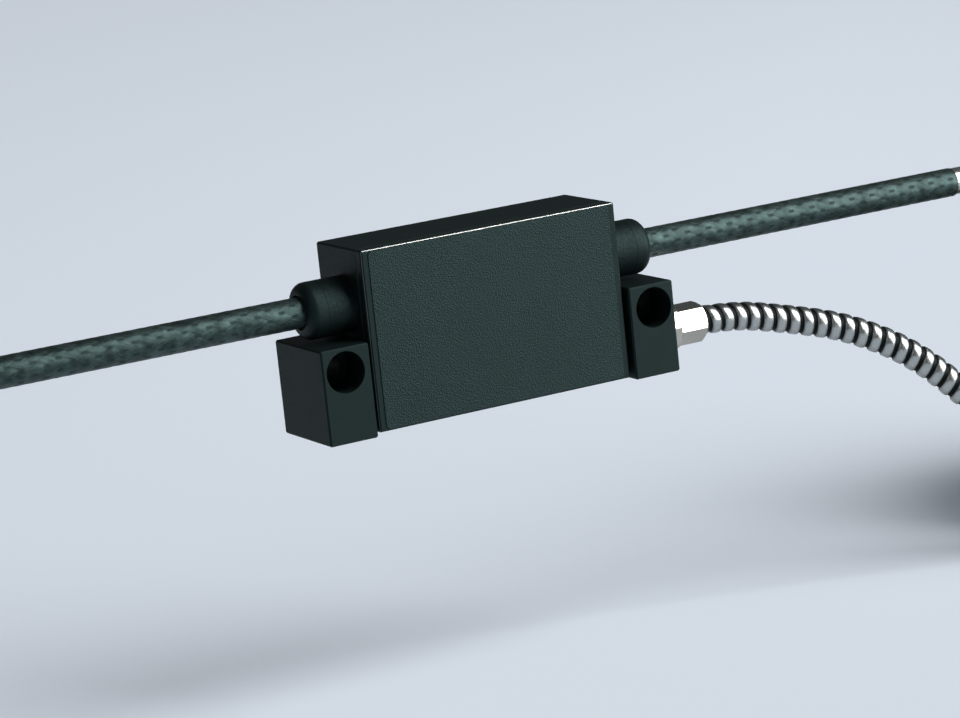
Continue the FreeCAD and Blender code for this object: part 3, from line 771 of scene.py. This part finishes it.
def coverFinish():
    # the black coating, worn through along the upper front edge and thin down the left one
    finish, tree, shader, place = startFinish("wornCover", coating["colour"], 0.56, 0.0, coating["specular"])
    low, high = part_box("front_cover")
    spot = put(tree, "ShaderNodeSeparateXYZ", {}, {"Vector": place})
    wear, fine = head["wear"] * mm, grain(tree, place, coating["grain"])
    front = calc(tree, "LESS_THAN", spot["Y"], low[1] + wear)
    upper = calc(tree, "GREATER_THAN", spot["Z"], high[2] - wear)
    left = calc(tree, "MULTIPLY", calc(tree, "LESS_THAN", spot["X"], low[0] + wear), head["leftWear"])
    bare = calc(tree, "MULTIPLY", front, calc(tree, "MAXIMUM", upper, left))
    tree.links.new(tinted(tree, bare, coating["colour"], head["bareMetal"]), shader.inputs["Base Color"])
    tree.links.new(bare, shader.inputs["Metallic"])
    polish = calc(tree, "MULTIPLY", bare, head["barePolish"])
    gloss = calc(tree, "SUBTRACT", between(tree, fine, *head["coverRoughness"]), polish)
    tree.links.new(gloss, shader.inputs["Roughness"])
    roughen(tree, shader, fine, head["coverGrain"] * mm)
    return finish


def makeHead():
    settle(dressed("head_body", "head_casting", head["castRounding"]), "reader_head",
           finishes["head_coating"], ("head_body",))
    cover = dressed("front_cover", "front_plate", head["coverRounding"])
    settle(cover, "reader_head", coverFinish(), ("front_cover",))
    settle(dressed("front_label", "pebbled_label", head["labelRounding"]), "reader_head",
           finishes["label_sheet"], ("front_label",))


makeHead()
print("head dressed")


# noses where the rod enters
nose = {
    "edge": 0.04,  # mm, soft edge of the sleeve
    "capClearance": 0.32,  # mm between tube and cap
    "capRound": 1.95,
    "capSteps": 12,
    "capFoot": 0.04,
}
sleeveFinish = grainyFinish("sleevePolymer", (0.003, 0.005, 0.005), (0.46, 0.62), 1700.0, 0.07, specular=0.20)


def makeNose(side, sign):
    low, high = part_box("nose_sleeve_" + side)
    inner, outer = sorted(abs(x) for x in (low[0], high[0]))
    radius, bore, edge = radiusOf("nose_sleeve_" + side), radiusOf("guide_bush_" + side), nose["edge"] * mm
    outline = [(inner, bore), (inner, radius)]
    outline += [(outer - edge, radius), (outer, radius - edge), (outer, bore)]
    sleeve = spun("nose_sleeve_" + side + "_finish", [(sign * x, r) for x, r in outline], rodAxis)
    settle(sleeve, "reader_head", sleeveFinish, ("nose_sleeve_" + side,))
    low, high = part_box("wiper_cap_" + side)
    start, end = sorted(abs(x) for x in (low[0], high[0]))
    opening, seat = radiusOf("scale_tube") + nose["capClearance"] * mm, radiusOf("wiper_ring_" + side)
    low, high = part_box("wiper_ring_" + side)
    seatEnd = max(abs(low[0]), abs(high[0]))
    rounding, foot = nose["capRound"] * mm, nose["capFoot"] * mm
    outline = [(start, radius - foot), (start + foot, radius)]
    outline += bend((end - rounding, radius - rounding), rounding, 90, 0, nose["capSteps"])
    outline += [(end, opening + foot), (end - foot, opening)]
    outline += [(seatEnd, opening), (seatEnd, seat), (start, seat)]
    cap = spun("wiper_cap_" + side + "_finish", [(sign * x, r) for x, r in outline], rodAxis)
    settle(cap, "reader_head", finishes["nose_polymer"], ("wiper_cap_" + side,))


makeNose("left", -1)
makeNose("right", 1)


# ferrule in the right lug
ferrule = {
    "collarLength": 3.75,  # mm
    "collarEdge": 0.3,
    "acrossFlats": 7.0,
    "hexTurn": 19.0,  # degrees that the front flat is turned upwards
    "hexEnd": 6.3,  # diameter of the flat ring at the end
    "hexBevel": 0.7,
    "bevelSteps": 6,
    "spigotLength": 4.1,
    "spigotDiameter": 4.4,
    "socketDepth": 3.5,
    "boreDiameter": 3.0,
}
hexCorner = math.radians(150 - ferrule["hexTurn"])  # where one corner of the hexagon is


def hexForm(turn, radius, flat):
    # radius of a hexagon's side, held inside the bevel's cone
    within = (turn - hexCorner) % (math.pi / 3) - math.pi / 6
    return min(radius, flat / math.cos(within))


def makeFerrule():
    low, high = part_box("conduit_ferrule")
    middle = middleOf("conduit_ferrule")
    size = {key: value * mm for key, value in ferrule.items()}
    steps = ferrule["bevelSteps"]
    spigotStart, end = low[0], high[0]
    lugFace = spigotStart + size["spigotLength"]
    hexStart, edge, flat = lugFace + size["collarLength"], size["collarEdge"], size["acrossFlats"] / 2
    bore, socket = size["boreDiameter"] / 2, (conduit["diameter"] / 2 + conduit["fit"]) * mm
    collar, corner = radiusOf("conduit_ferrule"), flat / math.cos(math.pi / 6)
    spigot = size["spigotDiameter"] / 2
    outline = [(spigotStart, bore), (spigotStart, spigot), (lugFace, spigot)]
    outline += [(lugFace, collar - edge / 2), (lugFace + edge / 2, collar), (hexStart - edge, collar),
                (hexStart, collar - edge), (hexStart, corner, flat)]
    bevel, ring = size["hexBevel"], size["hexEnd"] / 2
    for n in range(steps + 1):
        outline.append((end - bevel * (1 - n / steps), corner + (ring - corner) * n / steps, flat))
    outline += [(end, socket), (end - size["socketDepth"], socket), (end - size["socketDepth"], bore)]
    piece = spun("entry_ferrule", outline, (0, middle[1], middle[2]), form=hexForm, start=hexCorner)
    settle(piece, "reader_head", finishes["bright_nickel"], ("conduit_ferrule",))


makeFerrule()
print("noses and ferrule made")


# scale rod: braided tube and its metal ends
def braidTree():
    inputs = {name: "Float" for name in ("Length", "Outer Radius", "Bore Radius", "Tows", "Lead", "Relief")}
    inputs |= {"Rows": "Int", "Columns": "Int", "Centre": "Vector", "Finish": "Material"}
    tree, given = startTree("braidedTube", inputs)

    def m(operation, *values):
        return calc(tree, operation, *values)

    grid = put(tree, "GeometryNodeMeshGrid", {}, {
        "Size X": 1.0, "Size Y": 1.0, "Vertices X": given["Rows"], "Vertices Y": given["Columns"]})["Mesh"]
    place = put(tree, "GeometryNodeInputPosition")["Position"]
    spot = put(tree, "ShaderNodeSeparateXYZ", {}, {"Vector": place})
    row = m("ROUND", m("MULTIPLY", m("ADD", spot["X"], 0.5), m("SUBTRACT", given["Rows"], 1)))
    around = m("ADD", spot["Y"], 0.5)
    # rows: one on the bore, many outside, one on the bore, and the first again to close the wall
    beforeEnd = m("LESS_THAN", row, m("SUBTRACT", given["Rows"], 2.5))
    isOuter = m("MULTIPLY", m("GREATER_THAN", row, 0.5), beforeEnd)
    share = m("DIVIDE", m("SUBTRACT", row, 1), m("SUBTRACT", given["Rows"], 4))
    share = m("MINIMUM", m("MAXIMUM", share, 0), 1)
    share = m("MULTIPLY", share, m("LESS_THAN", row, m("SUBTRACT", given["Rows"], 1.5)))
    x = m("MULTIPLY", m("SUBTRACT", share, 0.5), given["Length"])
    climb = m("DIVIDE", x, given["Lead"])
    right = m("MULTIPLY", given["Tows"], m("SUBTRACT", around, climb))
    left = m("MULTIPLY", given["Tows"], m("ADD", around, climb))
    rightPart, leftPart = m("FRACT", right), m("FRACT", left)
    over = m("FLOORED_MODULO", m("ADD", m("FLOOR", right), m("FLOOR", left)), 2)  # which tow lies on top
    width = m("ADD", m("MULTIPLY", leftPart, over), m("MULTIPLY", rightPart, m("SUBTRACT", 1, over)))
    run = m("ADD", m("MULTIPLY", rightPart, over), m("MULTIPLY", leftPart, m("SUBTRACT", 1, over)))

    def offMiddle(value, power):
        return m("POWER", m("ABSOLUTE", m("SUBTRACT", m("MULTIPLY", value, 2), 1)), power)

    # a tow is flat across its middle, and dips by half to where it goes under the next
    crown = m("MULTIPLY", m("SUBTRACT", 1, offMiddle(width, 4)),
              m("SUBTRACT", 1, m("MULTIPLY", offMiddle(run, 2), 0.5)))
    sunk = m("MULTIPLY", given["Relief"], m("SUBTRACT", 1, crown))
    wall = m("SUBTRACT", m("SUBTRACT", given["Outer Radius"], given["Bore Radius"]), sunk)
    radius = m("ADD", given["Bore Radius"], m("MULTIPLY", isOuter, wall))
    turn = m("MULTIPLY", around, 2 * math.pi)
    onTube = put(tree, "ShaderNodeCombineXYZ", {}, {
        "X": x, "Y": m("MULTIPLY", radius, m("COSINE", turn)), "Z": m("MULTIPLY", radius, m("SINE", turn))})
    place = calcVector(tree, "ADD", onTube["Vector"], given["Centre"])
    tube = put(tree, "GeometryNodeSetPosition", {}, {"Geometry": grid, "Position": place})["Geometry"]
    tube = put(tree, "GeometryNodeMergeByDistance", {}, {"Geometry": tube, "Distance": weld})["Geometry"]
    tube = put(tree, "GeometryNodeFlipFaces", {}, {"Mesh": tube})["Mesh"]
    endTree(tree, tube, given["Finish"])
    return tree


def makeRod():
    low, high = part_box("scale_tube")
    holder = placed("braidHolder", bpy.data.meshes.new("braidHolder"))
    values = {
        "Length": high[0] - low[0],
        "Outer Radius": radiusOf("scale_tube"),
        "Bore Radius": radiusOf("scale_tube") - braid["wall"] * mm,
        "Tows": braid["tows"],
        "Lead": braid["lead"] * mm,
        "Relief": braid["relief"] * mm,
        "Rows": braid["rows"],
        "Columns": braid["columns"],
        "Centre": rodAxis,
        "Finish": finishes["carbon_braid"],
    }
    tube = smoothed(grown(holder, braidTree(), values, "braided_tube"), crease=60)
    settle(tube, "scale_rod", None, ("scale_tube",))
    print("rod:", len(tube.data.polygons), "faces")


makeRod()


# rod ends
rodEnds = {
    "rounding": 0.12,  # mm
    "names": {
        "end_plug_left": "rod_end_left",
        "end_plug_right": "rod_end_right",
        "preload_screw": "preload_screw_finish",
    },
}


def makeRodEnds():
    for node, name in rodEnds["names"].items():
        piece = dressed(node, name, rodEnds["rounding"])
        settle(piece, "scale_rod", finishes["plug_steel"], (node,))


makeRodEnds()
print("rod ends made")


# connector at the cord's end, and the coil's tie
connector = {
    "pinRows": (5, 4),
    "pinPitch": 2.77,  # mm
    "rowPitch": 2.84,
    "pinDiameter": 1.0,
    "pinSides": 14,
    "pinSteps": 16,
    "pinNose": 0.14,  # share of the pin that is rounded
    # hood, plates and tie: name and rounding of each
    "dressed": {
        "hood_lower": ("hood_shell_lower", 0.35),
        "hood_upper": ("hood_shell_upper", 0.35),
        "connector_flange": ("flange_plate", 0.1),
        "connector_insulator": ("pin_insulator", 0.1),
        "coil_tie": ("coil_strap", 0.2),
    },
    "roundSteps": 3,
}
thumbscrew = {
    "flutes": 14,
    "fluteSteps": 10,
    "fluteDepth": 0.35,  # mm
    "headLength": 11.0,
    "headEdge": 0.6,
    "shankRadius": 1.15,
    "threadStart": 13.85,  # mm along Y
    "threadPitch": 0.64,
    "threadRadius": 1.40,
    "threadDepth": 0.22,
    "threadSteps": 24,  # in one turn
    "threadSides": 4,
}
crimp = {
    "inset": 0.05,  # mm inside the CAD sleeve
    "edge": 0.2,
    "ridges": 3,
    "ridged": 0.6,  # share of the sleeve
    "crown": (0.12, 0.62),  # from and to, as shares of one ridge
    "groove": (0.75, 0.95),
    "grooveDepth": 0.22,
    "steps": 48,
}


def pinTree():
    inputs = {name: "Int" for name in ("Upper Count", "Lower Count", "Sides", "Steps")}
    inputs |= {name: "Float" for name in ("Pitch", "Row Pitch", "Radius", "Reach", "Nose")}
    inputs |= {"Centre": "Vector", "Finish": "Material"}
    tree, given = startTree("pinRows", inputs)

    def vector(x, y, z):
        return put(tree, "ShaderNodeCombineXYZ", {}, {"X": x, "Y": y, "Z": z})["Vector"]

    line = put(tree, "GeometryNodeCurvePrimitiveLine", {}, {"End": vector(0, given["Reach"], 0)})["Curve"]
    line = put(tree, "GeometryNodeResampleCurve", {}, {"Curve": line, "Count": given["Steps"]})["Curve"]
    along = put(tree, "GeometryNodeSplineParameter")["Factor"]
    toTip = calc(tree, "ADD", calc(tree, "SUBTRACT", along, 1), given["Nose"])
    tip = calc(tree, "MAXIMUM", calc(tree, "DIVIDE", toTip, given["Nose"]), 0)
    blunt = 1.03  # just above 1, so that the nose ends in a small flat
    taper = calc(tree, "SQRT", calc(tree, "SUBTRACT", blunt, calc(tree, "MULTIPLY", tip, tip)))
    taper = calc(tree, "MINIMUM", taper, 1)  # round nose on each pin
    feeds = {"Resolution": given["Sides"], "Radius": given["Radius"]}
    circle = put(tree, "GeometryNodeCurvePrimitiveCircle", {}, feeds)["Curve"]
    pin = put(tree, "GeometryNodeCurveToMesh", {},
              {"Curve": line, "Profile Curve": circle, "Scale": taper, "Fill Caps": True})["Mesh"]
    joined = tree.nodes.new("GeometryNodeJoinGeometry")
    for count, rise in (("Upper Count", 0.5), ("Lower Count", -0.5)):
        back = calc(tree, "MULTIPLY", calc(tree, "SUBTRACT", given[count], 1), -0.5)
        across = calc(tree, "MULTIPLY", back, given["Pitch"])
        start = vector(across, 0, calc(tree, "MULTIPLY", given["Row Pitch"], rise))
        row = put(tree, "GeometryNodeMeshLine", {}, {
            "Count": given[count], "Start Location": calcVector(tree, "ADD", start, given["Centre"]),
            "Offset": vector(given["Pitch"], 0, 0)})["Mesh"]
        pins = put(tree, "GeometryNodeInstanceOnPoints", {}, {"Points": row, "Instance": pin})["Instances"]
        tree.links.new(pins, joined.inputs["Geometry"])
    endTree(tree, joined.outputs["Geometry"], given["Finish"])
    return tree


def threadTree():
    inputs = {name: "Float" for name in ("Radius", "Depth", "Pitch", "Length")}
    inputs |= {"Steps": "Int", "Sides": "Int", "Start": "Vector", "Finish": "Material"}
    tree, given = startTree("screwThread", inputs)
    ridge = calc(tree, "SUBTRACT", given["Radius"], given["Depth"])
    turns = calc(tree, "DIVIDE", given["Length"], given["Pitch"])
    helix = put(tree, "GeometryNodeCurveSpiral", {}, {
        "Resolution": given["Steps"], "Rotations": turns, "Start Radius": ridge, "End Radius": ridge,
        "Height": given["Length"]})["Curve"]
    feeds = {"Resolution": given["Sides"], "Radius": given["Depth"]}
    section = put(tree, "GeometryNodeCurvePrimitiveCircle", {}, feeds)["Curve"]
    thread = put(tree, "GeometryNodeCurveToMesh", {},
                 {"Curve": helix, "Profile Curve": section, "Fill Caps": True})["Mesh"]
    feeds = {"Geometry": thread, "Translation": given["Start"], "Rotation": (-math.pi / 2, 0, 0)}
    lying = put(tree, "GeometryNodeTransform", {}, feeds)["Geometry"]
    endTree(tree, lying, given["Finish"])
    return tree


def makePins():
    low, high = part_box("contact_pins")
    centre = middleOf("contact_pins")
    holder = placed("pinHolder", bpy.data.meshes.new("pinHolder"))
    values = {
        "Upper Count": connector["pinRows"][0],
        "Lower Count": connector["pinRows"][1],
        "Sides": connector["pinSides"],
        "Steps": connector["pinSteps"],
        "Pitch": connector["pinPitch"] * mm,
        "Row Pitch": connector["rowPitch"] * mm,
        "Radius": connector["pinDiameter"] / 2 * mm,
        "Reach": high[1] - low[1],
        "Nose": connector["pinNose"],
        "Centre": (centre[0], low[1], centre[2]),
        "Finish": finishes["gold_contact"],
    }
    pins = smoothed(grown(holder, pinTree(), values, "contact_pin_rows"), crease=50)
    return settle(pins, "reader_head", None, ("contact_pins",))


def fluteForm(turn, radius, depth):
    return radius - depth * (0.5 - 0.5 * math.cos(thumbscrew["flutes"] * turn))


def makeThumbscrew(place, tree):
    node, body = "thumbscrew_" + place, place + "_thumbscrew"
    low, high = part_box(node)
    centre = (middleOf(node)[0], 0, middleOf(node)[2])
    radius, edge, cut = radiusOf(node), thumbscrew["headEdge"] * mm, thumbscrew["fluteDepth"] * mm
    back, tip = low[1], high[1]
    face, shank = back + thumbscrew["headLength"] * mm, thumbscrew["shankRadius"] * mm
    outline = [(back, 0), (back, radius - edge - cut), (back + edge, radius, cut)]
    outline += [(face - edge, radius, cut), (face, radius - edge - cut), (face, shank)]
    outline += [(tip - shank / 2, shank), (tip, shank / 2), (tip, 0)]
    steps = thumbscrew["flutes"] * thumbscrew["fluteSteps"]
    screw = spun(node + "_finish", outline, centre, "Y", steps, fluteForm)
    settle(screw, body, finishes[slotOf[node]], (node,))
    start = thumbscrew["threadStart"] * mm
    holder = placed("threadHolder", bpy.data.meshes.new("threadHolder"))
    values = {
        "Radius": thumbscrew["threadRadius"] * mm,
        "Depth": thumbscrew["threadDepth"] * mm,
        "Pitch": thumbscrew["threadPitch"] * mm,
        "Length": tip - shank / 2 - start,
        "Steps": thumbscrew["threadSteps"],
        "Sides": thumbscrew["threadSides"],
        "Start": (centre[0], start, centre[2]),
        "Finish": finishes[slotOf[node]],
    }
    thread = smoothed(grown(holder, tree, values, node + "_thread"), crease=50)
    settle(thread, body)
    return [screw, thread]


def makeCrimp():
    low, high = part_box("crimp_sleeve")
    centre = (middleOf("crimp_sleeve")[0], 0, middleOf("crimp_sleeve")[2])
    radius = radiusOf("crimp_sleeve") - crimp["inset"] * mm
    bore, deep = (conduit["diameter"] / 2 + conduit["fit"]) * mm, radius - crimp["grooveDepth"] * mm
    start, end = low[1], high[1]
    outline = [(start, bore), (start, radius - crimp["edge"] * mm)]
    ridged = (end - start) * crimp["ridged"]
    span = ridged / crimp["ridges"]
    for n in range(crimp["ridges"]):
        near = start + span * n
        outline += [(near + span * share, radius) for share in crimp["crown"]]
        outline += [(near + span * share, deep) for share in crimp["groove"]]
    outline += [(start + ridged, radius), (end, radius), (end, bore)]
    sleeve = spun("crimp_sleeve_finish", outline, centre, "Y", crimp["steps"])
    return settle(sleeve, "reader_head", finishes["bright_nickel"], ("crimp_sleeve",))


def makeConnector():
    pieces = []
    for node, (name, rounding) in connector["dressed"].items():
        piece = dressed(node, name, rounding, connector["roundSteps"])
        pieces.append(settle(piece, "reader_head", finishes[slotOf[node]], (node,)))
    pieces += [makePins(), makeCrimp()]
    thread = threadTree()
    for place in ("inner", "outer"):
        pieces += makeThumbscrew(place, thread)
    return pieces


connectorPieces = makeConnector()
print("connector made:", len(connectorPieces), "pieces")


# the other nodes keep their solids and take their slot's finish
for name, node in cadNodes.items():
    node.data.materials.clear()
    node.data.materials.append(finishes[slotOf[name]])
